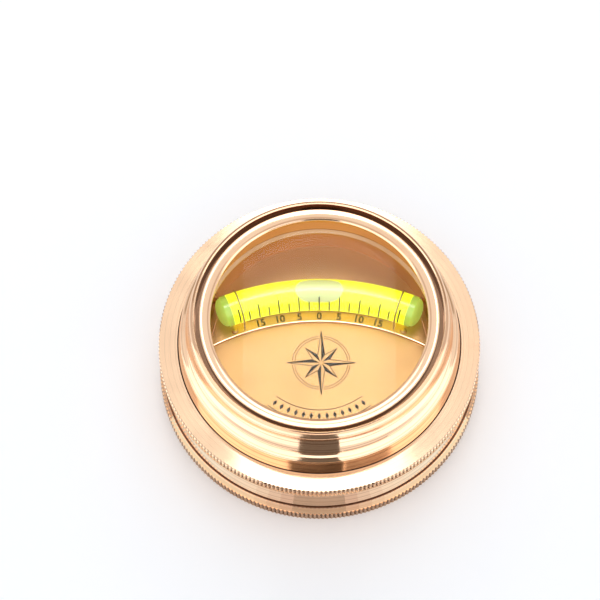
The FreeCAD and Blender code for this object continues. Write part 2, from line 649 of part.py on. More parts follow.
# Binding wires: an arch over the tube, two legs through the dial and two bent ends under it
for side, way in (("left", 1), ("right", -1)):
    name = f"vial_tie_{side}"
    arch = doc.addObject("Part::Torus", name + "_arch")
    arch.Placement = Placement(Vector(0, 0, 0), Rotation(ACROSS, 90))
    arch.Angle3 = 180
    bind(arch, "Radius1", "arch_radius")
    bind(arch, "Radius2", "wire_radius")
    bind(arch, "Placement.Base.x", "arc_radius")
    bind(arch, "Placement.Base.z", "tube_height")
    pieces = [arch]
    for rim, turn in (("inner", -1), ("outer", 1)):
        leg_line = f"arc_radius + {turn} * arch_radius"
        pieces.append(rod(f"{name}_leg_{rim}", "wire_radius", "tail_height",
                          "tube_height - tail_height", leg_line))
        bend = doc.addObject("Part::Sphere", f"{name}_bend_{rim}")
        bind(bend, "Radius", "wire_radius")
        bind(bend, "Placement.Base.x", leg_line)
        bind(bend, "Placement.Base.z", "tail_height")
        tail = doc.addObject("Part::Cylinder", f"{name}_tail_{rim}")
        tail.Placement = Placement(Vector(0, 0, 0), Rotation(Vector(0, 1, 0), -90 * turn))
        bind(tail, "Radius", "wire_radius")
        bind(tail, "Height", "wire_tail")
        bind(tail, "Placement.Base.x", leg_line)
        bind(tail, "Placement.Base.z", "tail_height")
        pieces += [bend, tail]
    tie = joined(name, pieces)
    tie.Placement = Placement(Vector(0, 0, 0), SOME_TURN)
    bind(tie, "Placement.Rotation.Angle", f"90 + {way} * tie_angle")
    bind(tie, "Placement.Base.y", "arc_centre")

# Cover: skirt, knurled flange and moulded neck, turned from one casting
cover_ring = turned("cover_ring", [
    ("skirt_bore", "cover_bottom"),
    ("skirt_radius", "cover_bottom"),
    ("skirt_radius", "skirt_top", "flare_radius", -1),
    ("flange_radius", "flange_knurl_foot"),
    ("flange_radius", "flange_edge_height"),
    ("flange_top_radius", "flange_top"),
    ("neck_root_radius", "flange_top"),
    ("neck_low_radius", "neck_low_top", "neck_bead_radius", 1),
    ("neck_bead_top_radius", "neck_bead_top", "neck_fillet_radius", -1),
    ("neck_step_radius", "neck_step_top", "neck_waist_radius", -1),
    ("neck_top_radius", "neck_crest_foot", "neck_crest_radius", 1),
    ("seat_bore", "neck_top"),
    ("seat_bore", "shelf_height"),
    ("neck_bore", "shelf_height"),
    ("neck_bore", "counterbore_top"),
    ("counterbore", "counterbore_top"),
    ("counterbore", "cover_ceiling"),
    ("skirt_bore", "cover_ceiling"),
])
cut_threads(cover_ring, "skirt_notch", "skirt_bore", "skirt_root")
cut_knurl(cover_ring, "flange_notch", "flange_radius", "flange_knurl_root", "flange_knurl_half",
          "flange_top", "flange_knurl_height")

# Rubber ring on the neck's shelf, under the glass
crystal_gasket = turned("crystal_gasket", [
    ("crystal_packing_inner", "shelf_height"),
    ("crystal_packing_outer", "shelf_height"),
    ("crystal_packing_outer", "crystal_packing_top"),
    ("crystal_packing_inner", "crystal_packing_top"),
])

# Flat glass with ground edges
crystal = turned("crystal", [
    (0, "crystal_foot"),
    ("crystal_edge_radius", "crystal_foot"),
    ("crystal_radius", "crystal_edge_foot"),
    ("crystal_radius", "crystal_edge_top"),
    ("crystal_edge_radius", "crystal_top"),
    (0, "crystal_top"),
])

# Thin fibre ring that lets the bezel turn on the glass
crystal_slip_ring = turned("crystal_slip_ring", [
    ("slip_inner", "crystal_top"),
    ("crystal_edge_radius", "crystal_top"),
    ("crystal_edge_radius", "slip_top"),
    ("slip_inner", "slip_top"),
])

# Bezel: screws into the neck and holds the glass down; its lip slopes in to the sight edge
glass_bezel = turned("glass_bezel", [
    ("bezel_bore", "bezel_foot"),
    ("bezel_radius", "bezel_foot"),
    ("bezel_radius", "groove_floor"),
    ("lip_radius", "groove_floor"),
    ("lip_radius", "lip_top", "lip_crest_radius", 1),
    ("sight_radius", "lip_edge_top"),
    ("sight_radius", "lip_edge_foot"),
    ("bezel_bore", "bezel_bore_top"),
])

doc.recompute()

NODES = [
    "base_case", "case_gasket", "dial_packing_ring", "dial_locating_pin", "dial_plate",
    "dial_retaining_ring", "scale_strip", "scale_rivets", "vial_tube", "vial_seal_left",
    "vial_seal_right", "vial_liquid", "vial_bubble", "vial_bed", "vial_tie_left",
    "vial_tie_right", "cover_ring", "crystal_gasket", "crystal", "crystal_slip_ring", "glass_bezel",
]

for item in doc.Objects:
    if "Invalid" in item.State or "Error" in item.State:
        raise RuntimeError(f"{item.Label} failed: {item.State}")
pieces = {label: doc.getObjectsByLabel(label)[0] for label in NODES}
for label, item in pieces.items():
    if item.Shape.isNull() or not item.Shape.isValid() or not item.Shape.Solids:
        raise RuntimeError(f"{label} has no valid solid")

os.makedirs("parts", exist_ok=True)
for label, item in pieces.items():
    item.Shape.exportStep(f"parts/{label}.step")
    box = item.Shape.BoundBox
    print(f"{label}: {len(item.Shape.Solids)} solid, {item.Shape.Volume:.2f} mm3, "
          f"z {box.ZMin:.2f} to {box.ZMax:.2f}, reach {box.XMax:.2f}")
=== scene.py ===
"""Looks of the desk inclinometer: turned brass case, bent spirit tube on a satin dial under flat glass."""

import math

import bmesh
import bpy
from mathutils import Matrix, Vector


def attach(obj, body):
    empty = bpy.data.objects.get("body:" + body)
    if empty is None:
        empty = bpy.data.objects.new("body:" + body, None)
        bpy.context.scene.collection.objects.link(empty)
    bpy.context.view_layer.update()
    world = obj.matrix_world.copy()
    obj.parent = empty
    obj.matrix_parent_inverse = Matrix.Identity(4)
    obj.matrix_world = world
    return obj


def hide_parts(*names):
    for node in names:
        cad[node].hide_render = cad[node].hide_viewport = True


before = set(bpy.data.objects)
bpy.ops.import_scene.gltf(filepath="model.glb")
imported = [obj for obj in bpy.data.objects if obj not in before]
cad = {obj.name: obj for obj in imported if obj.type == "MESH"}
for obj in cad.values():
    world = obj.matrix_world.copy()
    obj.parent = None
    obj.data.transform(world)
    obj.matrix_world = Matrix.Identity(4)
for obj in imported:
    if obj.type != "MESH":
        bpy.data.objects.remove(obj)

# Sizes of the pieces are in mm, with radii from the case's axis and heights from the table
MM = 0.001
scene = bpy.context.scene
scene.view_settings.view_transform = "Standard"
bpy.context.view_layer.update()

# Camera
# A long lens looks down at 66 degrees from 0.48 m; its aim is a little up and left of the object,
# which so stands low and right of the middle
TARGET = Vector((0, 0, 18.6 * MM))
LOOK_DOWN = math.radians(66)
DISTANCE = 0.48
AIM_LEFT = 4.77 * MM
AIM_UP = 9.68 * MM
away = Vector((0, -math.cos(LOOK_DOWN), math.sin(LOOK_DOWN)))
camera_up = Vector((0, math.sin(LOOK_DOWN), math.cos(LOOK_DOWN)))
aim = TARGET - Vector((AIM_LEFT, 0, 0)) + camera_up * AIM_UP
lens = bpy.data.cameras.new("camera")
lens.lens = 116
lens.sensor_width = 36
lens.clip_start = 0.01
camera = bpy.data.objects.new("camera", lens)
camera.location = TARGET + away * DISTANCE
ahead = (aim - camera.location).normalized()
sideways = (Vector((1, 0, 0)) - ahead * ahead.x).normalized()
camera.rotation_euler = Matrix((sideways, sideways.cross(ahead), -ahead)).transposed().to_euler()
scene.collection.objects.link(camera)
scene.camera = camera

# Base
# Brass cup turned from bar and polished outside: the knurled foot slopes up to the joint, the
# threaded spigot goes up inside the cover's skirt, and the dial rests on the ledge
FOOT_RADIUS = 40.7
FOOT_HEIGHT = 3.3
FOOT_BEVEL = 0.3
HOLLOW_RADIUS = 35.4
HOLLOW_DEPTH = 0.6
JOINT_RADIUS = 39.8
JOINT_HEIGHT = 6.0
SLOPE_BOW = 5.0
SPIGOT_RADIUS = 37.0
SPIGOT_TOP = 14.4
SPIGOT_BEVEL = 0.4
WELL_RADIUS = 33.6
LEDGE_RADIUS = 30.0
LEDGE_HEIGHT = 11.1
FLOOR_TOP = 3.2
SOFT_EDGE = 0.2
CRISP_EDGE = 0.15


def bow(start, end, radius, turn, steps=12):
    """Points between start and end on an arc; turn is 1 where it runs anticlockwise, else -1."""
    first, last = Vector(start), Vector(end)
    chord = last - first
    rise = math.sqrt(radius * radius - chord.length_squared / 4)
    centre = (first + last) / 2 + Vector((-chord.y, chord.x)).normalized() * rise * turn
    spoke = first - centre
    sweep = 2 * math.asin(chord.length / 2 / radius) * turn
    points = []
    for step in range(1, steps):
        bearing = sweep * step / steps
        across = spoke.x * math.cos(bearing) - spoke.y * math.sin(bearing)
        rising = spoke.x * math.sin(bearing) + spoke.y * math.cos(bearing)
        points.append((centre.x + across, centre.y + rising))
    return points


THREAD_FOOT = 7.5
THREAD_PITCH = 1.5
THREAD_TURNS = 4
THREAD_DEPTH = 0.45


def thread(radius, depth):
    """Ring grooves at the thread's pitch, from the radius inwards; a depth below 0 goes outwards."""
    flank = THREAD_PITCH / 4
    points = []
    for turn_number in range(THREAD_TURNS):
        middle = THREAD_FOOT + turn_number * THREAD_PITCH
        points += [(radius, middle - flank), (radius - depth, middle), (radius, middle + flank)]
    return points


EASE_STEPS = 4
EASE_SHARE = 0.45
FLAT_HOLD = 0.04
HOLD_SHARE = 0.49


def eased(corners):
    """The outline with each corner (radius, height, ease) rounded over that length, and a point
    close to each side of it that keeps the faces next to it looking flat."""
    points = []
    for index, corner in enumerate(corners):
        here = Vector(corner[:2])
        if len(corner) == 2:
            points.append(here)
            continue
        back = Vector(corners[index - 1][:2]) - here
        onward = Vector(corners[(index + 1) % len(corners)][:2]) - here
        reach = min(corner[2], back.length * EASE_SHARE, onward.length * EASE_SHARE)
        start = here + back.normalized() * reach
        end = here + onward.normalized() * reach
        hold = reach + FLAT_HOLD
        points.append(here + back.normalized() * min(hold, back.length * HOLD_SHARE))
        for step in range(EASE_STEPS + 1):
            share = step / EASE_STEPS
            points.append(start * (1 - share) ** 2 + here * 2 * share * (1 - share) + end * share ** 2)
        points.append(here + onward.normalized() * min(hold, onward.length * HOLD_SHARE))
    return points


def lathe(corners, columns=288):
    """A solid turned round the case's axis from its half section."""
    work = bmesh.new()
    ring = [work.verts.new((point.x * MM, 0, point.y * MM)) for point in eased(corners)]
    edges = []
    for index, vert in enumerate(ring):
        after = ring[(index + 1) % len(ring)]
        if vert.co.x > 0 or after.co.x > 0:
            edges.append(work.edges.new((vert, after)))
    bmesh.ops.spin(work, geom=ring + edges, cent=(0, 0, 0), axis=(0, 0, 1),
                   angle=math.tau, steps=columns, use_merge=True)
    return work


TEETH = 240
TOOTH_DEPTH = 0.4
TOOTH_MARGIN = 0.01


def knurled(work, rim, low, high):
    """Straight knurl: every second column between two heights goes down to the teeth's root."""
    root = rim - TOOTH_DEPTH
    for vert in work.verts:
        radius = vert.co.xy.length / MM
        height = vert.co.z / MM
        if low < height < high and root < radius < rim + TOOTH_MARGIN:
            column = round(math.atan2(vert.co.y, vert.co.x) / math.tau * 2 * TEETH)
            if column % 2:
                vert.co.x *= root / radius
                vert.co.y *= root / radius


SLOPE_FOOT = (FOOT_RADIUS - FOOT_BEVEL, FOOT_HEIGHT)
SLOPE_TOP = (JOINT_RADIUS, JOINT_HEIGHT)
base_work = lathe([
    (0, HOLLOW_DEPTH),
    (HOLLOW_RADIUS, HOLLOW_DEPTH, SOFT_EDGE),
    (HOLLOW_RADIUS, 0, SOFT_EDGE),
    (FOOT_RADIUS - FOOT_BEVEL, 0),
    (FOOT_RADIUS, FOOT_BEVEL),
    (FOOT_RADIUS, FOOT_HEIGHT - TOOTH_MARGIN),
    SLOPE_FOOT,
    *bow(SLOPE_FOOT, SLOPE_TOP, SLOPE_BOW, -1),
    (*SLOPE_TOP, CRISP_EDGE),
    (SPIGOT_RADIUS, JOINT_HEIGHT),
    *thread(SPIGOT_RADIUS, THREAD_DEPTH),
    (SPIGOT_RADIUS, SPIGOT_TOP - SPIGOT_BEVEL),
    (SPIGOT_RADIUS - SPIGOT_BEVEL, SPIGOT_TOP),
    (WELL_RADIUS, SPIGOT_TOP, SOFT_EDGE),
    (WELL_RADIUS, LEDGE_HEIGHT),
    (LEDGE_RADIUS, LEDGE_HEIGHT, SOFT_EDGE),
    (LEDGE_RADIUS, FLOOR_TOP),
    (0, FLOOR_TOP),
], 2 * TEETH)
knurled(base_work, FOOT_RADIUS, FOOT_BEVEL / 2, FOOT_HEIGHT - TOOTH_MARGIN / 2)


def band(work, number, radii, heights):
    """Gives the faces whose middle lies between two radii and two heights the piece's further
    material of that number."""
    for face in work.faces:
        middle = face.calc_center_median() / MM
        if radii[0] < middle.xy.length < radii[1] and heights[0] < middle.z < heights[1]:
            face.material_index = number


TEETH_BAND = 1
JOINT_BAND = 2
MARGIN = 0.05
band(base_work, TEETH_BAND, (FOOT_RADIUS - TOOTH_DEPTH - MARGIN, FOOT_RADIUS + MARGIN),
     (FOOT_BEVEL, FOOT_HEIGHT - TOOTH_MARGIN))
# The joint's ledge gets the dark brown of oxide and painted shade
band(base_work, JOINT_BAND, (SPIGOT_RADIUS, JOINT_RADIUS), (JOINT_HEIGHT - MARGIN, JOINT_HEIGHT + MARGIN))


def new_material(name):
    """A new material, its node tree and its shader."""
    material = bpy.data.materials.new(name)
    material.use_nodes = True
    tree = material.node_tree
    return material, tree, tree.nodes["Principled BSDF"]


def node(tree, kind, **values):
    """A new node with its settings."""
    made = tree.nodes.new(kind)
    for key, value in values.items():
        setattr(made, key, value)
    return made


def math_node(tree, operation, first, second=None):
    """The result of a sum on plain numbers or other nodes' outputs."""
    made = node(tree, "ShaderNodeMath", operation=operation)
    for index, value in enumerate((first, second)):
        if value is None:
            continue
        if isinstance(value, (int, float)):
            made.inputs[index].default_value = value
        else:
            tree.links.new(value, made.inputs[index])
    return made.outputs[0]


def noise(tree, place, scale, detail=2.0):
    """A cloudy grain, with so many clouds to the metre."""
    made = node(tree, "ShaderNodeTexNoise")
    made.inputs["Scale"].default_value = scale
    made.inputs["Detail"].default_value = detail
    tree.links.new(place, made.inputs["Vector"])
    return made.outputs[0]


def spread(tree, value, low, high, start=0.35, end=0.65):
    """Maps what lies from start to end to the range low to high."""
    made = node(tree, "ShaderNodeMapRange")
    made.inputs["From Min"].default_value = start
    made.inputs["From Max"].default_value = end
    made.inputs["To Min"].default_value = low
    made.inputs["To Max"].default_value = high
    tree.links.new(value, made.inputs["Value"])
    return made.outputs[0]


def blend(tree, share, first, second, blend_type="MIX"):
    """A colour that goes from the first to the second with the share; each is a plain colour or
    another node's output."""
    made = node(tree, "ShaderNodeMix", data_type="RGBA", blend_type=blend_type)
    for letter, colour in (("A", first), ("B", second)):
        if isinstance(colour, tuple):
            made.inputs[letter].default_value = (*colour, 1)
        else:
            tree.links.new(colour, made.inputs[letter])
    tree.links.new(share, made.inputs["Factor"])
    return made.outputs["Result"]


def ring_place(tree, place):
    """The distance from the case's axis as X and the height as Z, so that a grain forms lathe rings."""
    parts = node(tree, "ShaderNodeSeparateXYZ")
    tree.links.new(place, parts.inputs[0])
    squares = math_node(tree, "ADD", math_node(tree, "POWER", parts.outputs["X"], 2.0),
                        math_node(tree, "POWER", parts.outputs["Y"], 2.0))
    joined = node(tree, "ShaderNodeCombineXYZ")
    tree.links.new(math_node(tree, "SQRT", squares), joined.inputs["X"])
    tree.links.new(parts.outputs["Z"], joined.inputs["Z"])
    return joined.outputs[0]


CLOUD_GRAIN = 70
LINE_GRAIN = 1500
RING_GRAIN = 2600
LINE_TINT = (0.62, 0.50, 0.44)
# Colour of the painted shade that darkens grooves and the gaps between teeth
PAINTED_SHADE_TINT = (0.27, 0.15, 0.09)


def brass(name, bright, dull, smooth, rough, ring_depth, lines=0, painted_shade=None):
    """Turned brass with slight tarnish in cloudy patches and fine lathe rings, so many mm deep.
    Lines is how much darker the finest turned lines are. The last argument paints shade into grooves and
    between teeth: ("X" for the radius or "Z" for the height, where the painted shade is full, where it fades
    out)."""
    material, tree, shader = new_material(name)
    place = node(tree, "ShaderNodeTexCoord").outputs["Object"]
    clouds = noise(tree, place, CLOUD_GRAIN, 4)
    colour = blend(tree, spread(tree, clouds, 0, 1, 0.3, 0.5), dull, bright)
    if lines:
        turned_lines = noise(tree, ring_place(tree, place), LINE_GRAIN, 3)
        colour = blend(tree, spread(tree, turned_lines, lines, 0, 0.36, 0.48), colour, LINE_TINT,
                       "MULTIPLY")
    # Painted shade: darker towards the bottom of a groove or the root of the teeth
    if painted_shade:
        axis, shade_full_at, shade_end_at = painted_shade
        parts = node(tree, "ShaderNodeSeparateXYZ")
        tree.links.new(ring_place(tree, place), parts.inputs[0])
        unshaded_share = spread(tree, parts.outputs[axis], 0, 1, shade_full_at * MM, shade_end_at * MM)
        colour = blend(tree, unshaded_share, PAINTED_SHADE_TINT, colour)
    tree.links.new(colour, shader.inputs["Base Color"])
    tree.links.new(spread(tree, clouds, rough, smooth), shader.inputs["Roughness"])
    shader.inputs["Metallic"].default_value = 1
    bump = node(tree, "ShaderNodeBump")
    bump.inputs["Strength"].default_value = 1
    bump.inputs["Distance"].default_value = ring_depth * MM
    tree.links.new(noise(tree, ring_place(tree, place), RING_GRAIN, 3), bump.inputs["Height"])
    tree.links.new(bump.outputs["Normal"], shader.inputs["Normal"])
    return material


def plain(name, colour, darker, rough, grain, metal=0.0):
    """A plain stuff whose colour varies a little with its grain."""
    material, tree, shader = new_material(name)
    place = node(tree, "ShaderNodeTexCoord").outputs["Object"]
    grains = spread(tree, noise(tree, place, grain, 4), 0, 1)
    tree.links.new(blend(tree, grains, darker, colour), shader.inputs["Base Color"])
    shader.inputs["Roughness"].default_value = rough
    shader.inputs["Metallic"].default_value = metal
    return material


POLISH = {"bright": (0.93, 0.64, 0.425), "dull": (0.87, 0.56, 0.36), "smooth": 0.07, "rough": 0.15,
          "ring_depth": 0.002}
polished_brass = brass("polished_brass", **POLISH, lines=0.7)
# The foot's teeth get painted shade, darker towards their root
foot_teeth = brass("foot_teeth", **POLISH, painted_shade=("X", FOOT_RADIUS - TOOTH_DEPTH, 40.65))
# Dark brown for the base's joint ledge and the cover's fine grooves: some oxide in the joint, with painted
# shade in both
oxide_and_crevice_shade = plain("oxide_and_crevice_shade", (0.24, 0.12, 0.075), (0.17, 0.085, 0.05), 0.4, 900, metal=1.0)

MERGE_DISTANCE = 1e-7


def keep(name, work, materials, body, stands_for=(), sharp=30):
    """Makes the worked mesh a piece of the object; edges sharper than so many degrees stay crisp."""
    bmesh.ops.remove_doubles(work, verts=work.verts, dist=MERGE_DISTANCE)
    bmesh.ops.recalc_face_normals(work, faces=work.faces)
    mesh = bpy.data.meshes.new(name)
    work.to_mesh(mesh)
    work.free()
    mesh.polygons.foreach_set("use_smooth", [True] * len(mesh.polygons))
    mesh.set_sharp_from_angle(angle=math.radians(sharp))
    for material in materials:
        mesh.materials.append(material)
    piece = bpy.data.objects.new(name, mesh)
    scene.collection.objects.link(piece)
    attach(piece, body)
    if stands_for:
        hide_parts(*stands_for)


keep("base_case", base_work, [polished_brass, foot_teeth, oxide_and_crevice_shade], "base",
     ["base_case"])

# Dial plate, card ring and dowel
# Sheet brass, brushed round its centre to a satin; it lies on a ring of waxed card on the ledge,
# and a steel dowel keeps it square
DIAL_TOP = 13.4


def dress(piece_name, material):
    """Gives a carried-over CAD node its material."""
    cad[piece_name].data.materials.clear()
    cad[piece_name].data.materials.append(material)


satin_brass = brass("satin_brass", (0.68, 0.385, 0.16), (0.62, 0.35, 0.145), 0.36, 0.42, 0.004)
dress("dial_plate", satin_brass)
dress("dial_packing_ring", plain("card", (0.20, 0.13, 0.06), (0.15, 0.09, 0.04), 0.8, 500))
dress("dial_locating_pin", plain("steel", (0.55, 0.55, 0.55), (0.45, 0.45, 0.46), 0.25, 800, metal=1.0))

# Compass star on the dial
# Cut into the brass with a graver and filled with black wax: eight points, each with one dark
# half, in two broken rings
FILL_DEPTH = 0.03
STAR_CENTRE = (0.5, -4.3)
STAR_POINTS = 8
LONG_POINT = 8.6
SHORT_POINT = 5.6
STAR_WAIST = 2.3
STAR_HEART = 0.3
STAR_LINE = 0.2
STAR_RINGS = (6.6, 7.2)
RING_DASHES = 72
RING_LINE = 0.22
black_wax = plain("black_wax", (0.05, 0.03, 0.015), (0.025, 0.015, 0.01), 0.6, 2500)


def flat_mark(work, corners, top):
    """A filled shape flush with the surface at that height."""
    height = top + FILL_DEPTH / 2
    face = work.faces.new([work.verts.new(Vector((*corner, height)) * MM) for corner in corners])
    shaft = bmesh.ops.extrude_face_region(work, geom=[face])
    lower = [item for item in shaft["geom"] if isinstance(item, bmesh.types.BMVert)]
    bmesh.ops.translate(work, verts=lower, vec=(0, 0, -FILL_DEPTH * MM))


def stroke(work, start, end, width, top):
    """A straight filled line."""
    side = (end - start).orthogonal().normalized() * width / 2
    flat_mark(work, [start - side, end - side, end + side, start + side], top)


def polar(centre, radius, bearing):
    """The place at a radius from a centre; the bearing in degrees grows clockwise from the far side."""
    angle = math.radians(bearing)
    return Vector((centre[0] + radius * math.sin(angle), centre[1] + radius * math.cos(angle)))


star_work = bmesh.new()
point_step = 360 / STAR_POINTS
for point in range(STAR_POINTS):
    bearing = point * point_step
    tip = polar(STAR_CENTRE, SHORT_POINT if point % 2 else LONG_POINT, bearing)
    waist = [polar(STAR_CENTRE, STAR_WAIST, bearing + point_step / 2 * hand) for hand in (-1, 1)]
    for notch in waist:
        stroke(star_work, tip, notch, STAR_LINE, DIAL_TOP)
    flat_mark(star_work, [polar(STAR_CENTRE, STAR_HEART, bearing), waist[1], tip], DIAL_TOP)
dash_step = 360 / RING_DASHES
dash_gap = 0.6
for radius in STAR_RINGS:
    for dash in range(RING_DASHES):
        crosses_long_point = dash % 18 in (0, 17)
        if not crosses_long_point:
            stroke(star_work, polar(STAR_CENTRE, radius, dash * dash_step + dash_gap),
                   polar(STAR_CENTRE, radius, (dash + 1) * dash_step - dash_gap), RING_LINE, DIAL_TOP)
keep("dial_star", star_work, [black_wax], "base")

# Border on the dial
# A row of lozenges between two broken lines along the near edge, cut and filled like the star
BORDER_LINES = (17.0, 20.2)
BORDER_DASHES = 28
BORDER_STEP = 2.8
BORDER_DASH = 2.6
LOZENGES = 13
LOZENGE_STEP = 6
LOZENGE_LINE = 18.6
LOZENGE_HALF_HEIGHT = 0.9
LOZENGE_HALF_TURN = 1.5
DIAL_CENTRE = (0, 0)
NEAR_SIDE = 180
border_work = bmesh.new()
for radius in BORDER_LINES:
    for dash in range(BORDER_DASHES):
        bearing = NEAR_SIDE + (dash - BORDER_DASHES / 2) * BORDER_STEP
        stroke(border_work, polar(DIAL_CENTRE, radius, bearing),
               polar(DIAL_CENTRE, radius, bearing + BORDER_DASH), RING_LINE, DIAL_TOP)
for lozenge in range(LOZENGES):
    bearing = NEAR_SIDE + (lozenge - LOZENGES // 2) * LOZENGE_STEP
    flat_mark(border_work, [polar(DIAL_CENTRE, LOZENGE_LINE - LOZENGE_HALF_HEIGHT, bearing),
                            polar(DIAL_CENTRE, LOZENGE_LINE, bearing + LOZENGE_HALF_TURN),
                            polar(DIAL_CENTRE, LOZENGE_LINE + LOZENGE_HALF_HEIGHT, bearing),
                            polar(DIAL_CENTRE, LOZENGE_LINE, bearing - LOZENGE_HALF_TURN)], DIAL_TOP)
keep("dial_border", border_work, [black_wax], "base")

# Scale strip
# Brass strip cut to the tube's arc and brushed to a satin; its rim is filed to a bright bevel.
# Half sweeps are in degrees to each side
ARC_CENTRE = -48.8
ARC_RADIUS = 61.0
NEAR_EDGE, NEAR_HALF_SWEEP = 55.6, 29.99
FAR_EDGE, FAR_HALF_SWEEP = 66.4, 21.80
STRIP_THICKNESS = 0.6
STRIP_TOP = DIAL_TOP + STRIP_THICKNESS
BEVEL_WIDTH = 0.2
BEVEL_RISE = 0.02
BEVEL_BAND = 1
EDGE_STEPS = 60


def on_arc(radius, bearing, height):
    """The place in metres at a radius from the arc's centre, the bearing in degrees to the right."""
    angle = math.radians(bearing)
    return Vector((radius * math.sin(angle), ARC_CENTRE + radius * math.cos(angle), height)) * MM


strip_work = bmesh.new()
strip_verts = []
for edge_radius, half_sweep in ((NEAR_EDGE, NEAR_HALF_SWEEP), (FAR_EDGE, -FAR_HALF_SWEEP)):
    for step in range(EDGE_STEPS + 1):
        bearing = half_sweep * (2 * step / EDGE_STEPS - 1)
        strip_verts.append(strip_work.verts.new(on_arc(edge_radius, bearing, DIAL_TOP)))
strip_work.faces.new(strip_verts)
strip_rise = bmesh.ops.extrude_face_region(strip_work, geom=list(strip_work.faces))
upper = [item for item in strip_rise["geom"] if isinstance(item, bmesh.types.BMVert)]
bmesh.ops.translate(strip_work, verts=upper, vec=(0, 0, (STRIP_THICKNESS - BEVEL_RISE) * MM))
top_face = [face for face in strip_work.faces if all(vert in upper for vert in face.verts)]
bevel = bmesh.ops.inset_region(strip_work, faces=top_face, thickness=BEVEL_WIDTH * MM,
                               depth=BEVEL_RISE * MM, use_even_offset=True)
for face in bevel["faces"]:
    face.material_index = BEVEL_BAND
scale_brass = brass("scale_brass", (0.74, 0.43, 0.18), (0.66, 0.38, 0.155), 0.28, 0.36, 0.003)
keep("scale_strip", strip_work, [scale_brass, polished_brass], "base",
     ["scale_strip"], sharp=3)

# Rivets of the strip
# Four round-headed brass rivets, one near each corner, headed over under the dial
RIVET_BEARING = 21.8
RIVET_LINES = (56.95, 65.05)
RIVET_FOOT = 11.4
HEAD_RADIUS = 0.85
HEAD_HEIGHT = 0.4
SHANK_RADIUS = 0.5
rivet_work = bmesh.new()
for side in (-1, 1):
    for rivet_line in RIVET_LINES:
        for height, upward in ((STRIP_TOP, 1), (RIVET_FOOT, -1)):
            head = bmesh.ops.create_uvsphere(rivet_work, u_segments=24, v_segments=12,
                                             radius=HEAD_RADIUS * MM)
            for vert in head["verts"]:
                vert.co.z *= HEAD_HEIGHT / HEAD_RADIUS
                if vert.co.z * upward < 0:
                    vert.co.z = 0
                vert.co += on_arc(rivet_line, side * RIVET_BEARING, height)
        shank = bmesh.ops.create_cone(rivet_work, cap_ends=True, segments=24,
                                      radius1=SHANK_RADIUS * MM, radius2=SHANK_RADIUS * MM,
                                      depth=(STRIP_TOP - RIVET_FOOT) * MM)
        bmesh.ops.translate(rivet_work, verts=shank["verts"],
                            vec=on_arc(rivet_line, side * RIVET_BEARING, (STRIP_TOP + RIVET_FOOT) / 2))
keep("scale_rivets", rivet_work, [scale_brass], "base", ["scale_rivets"], sharp=40)

# Figures of the scale
# Plain degree figures every five degrees below the tube, cut into the strip and filled with the
# same wax
FIGURE_LINE = 56.95
FIGURE_HEIGHT = 2.6
FIGURE_BOLD = 0.07


def engraved_figure(degrees):
    """The figure for so many degrees to the right, as a mesh on the strip."""
    curve = bpy.data.curves.new("figure", "FONT")
    curve.body = str(abs(degrees))
    curve.size = FIGURE_HEIGHT * MM
    curve.align_x = "CENTER"
    curve.align_y = "CENTER"
    curve.extrude = FILL_DEPTH / 2 * MM
    curve.offset = FIGURE_BOLD * MM
    holder = bpy.data.objects.new("figure", curve)
    scene.collection.objects.link(holder)
    mesh = bpy.data.meshes.new_from_object(holder)
    bpy.data.objects.remove(holder)
    mesh.transform(Matrix.Translation(on_arc(FIGURE_LINE, degrees, STRIP_TOP))
                   @ Matrix.Rotation(-math.radians(degrees), 4, "Z"))
    return mesh


figure_work = bmesh.new()
for degrees in range(-15, 16, 5):
    figure_mesh = engraved_figure(degrees)
    figure_work.from_mesh(figure_mesh)
    bpy.data.meshes.remove(figure_mesh)
keep("scale_figures", figure_work, [black_wax], "base")

# Spirit tube
# Clear drawn glass, bent to one radius, so that the bubble moves by the angle of tilt; it lies in
# cement on the strip. Lengths along it are in degrees of its arc
TUBE_RADIUS = 4.0
BORE_RADIUS = 3.2
TUBE_GAP = 0.12
TUBE_HEIGHT = STRIP_TOP + TUBE_GAP + TUBE_RADIUS
HALF_LENGTH = 23.0


def bent(radius, half_length, around=64, along=72):
    """The skin of a rod bent to the tube's arc, open at both ends."""
    work = bmesh.new()
    start = on_arc(ARC_RADIUS, -half_length, TUBE_HEIGHT)
    facing = Matrix.Rotation(math.radians(half_length), 4, "Z") @ Matrix.Rotation(math.radians(90), 4, "Y")
    bmesh.ops.create_circle(work, segments=around, radius=radius * MM,
                            matrix=Matrix.Translation(start) @ facing)
    bmesh.ops.spin(work, geom=list(work.verts) + list(work.edges),
                   cent=(0, ARC_CENTRE * MM, TUBE_HEIGHT * MM), axis=(0, 0, 1),
                   angle=-math.radians(2 * half_length), steps=along)
    return work


def add_to(work, other):
    """Adds a second worked mesh to the first."""
    mesh = bpy.data.meshes.new("added")
    other.to_mesh(mesh)
    other.free()
    work.from_mesh(mesh)
    bpy.data.meshes.remove(mesh)


def clear(name, tint, bending):
    """Clear glass that bends what is seen through it and lets light through to what it covers."""
    material, tree, shader = new_material(name)
    shader.inputs["Base Color"].default_value = (*tint, 1)
    shader.inputs["Roughness"].default_value = 0.0
    shader.inputs["IOR"].default_value = bending
    shader.inputs["Transmission Weight"].default_value = 1
    open_way = node(tree, "ShaderNodeBsdfTransparent")
    open_way.inputs["Color"].default_value = (*tint, 1)
    light_path = node(tree, "ShaderNodeLightPath")
    through = math_node(tree, "MAXIMUM", light_path.outputs["Is Shadow Ray"],
                        light_path.outputs["Is Diffuse Ray"])
    choice = node(tree, "ShaderNodeMixShader")
    tree.links.new(through, choice.inputs[0])
    tree.links.new(shader.outputs[0], choice.inputs[1])
    tree.links.new(open_way.outputs[0], choice.inputs[2])
    tree.links.new(choice.outputs[0], tree.nodes["Material Output"].inputs["Surface"])
    return material


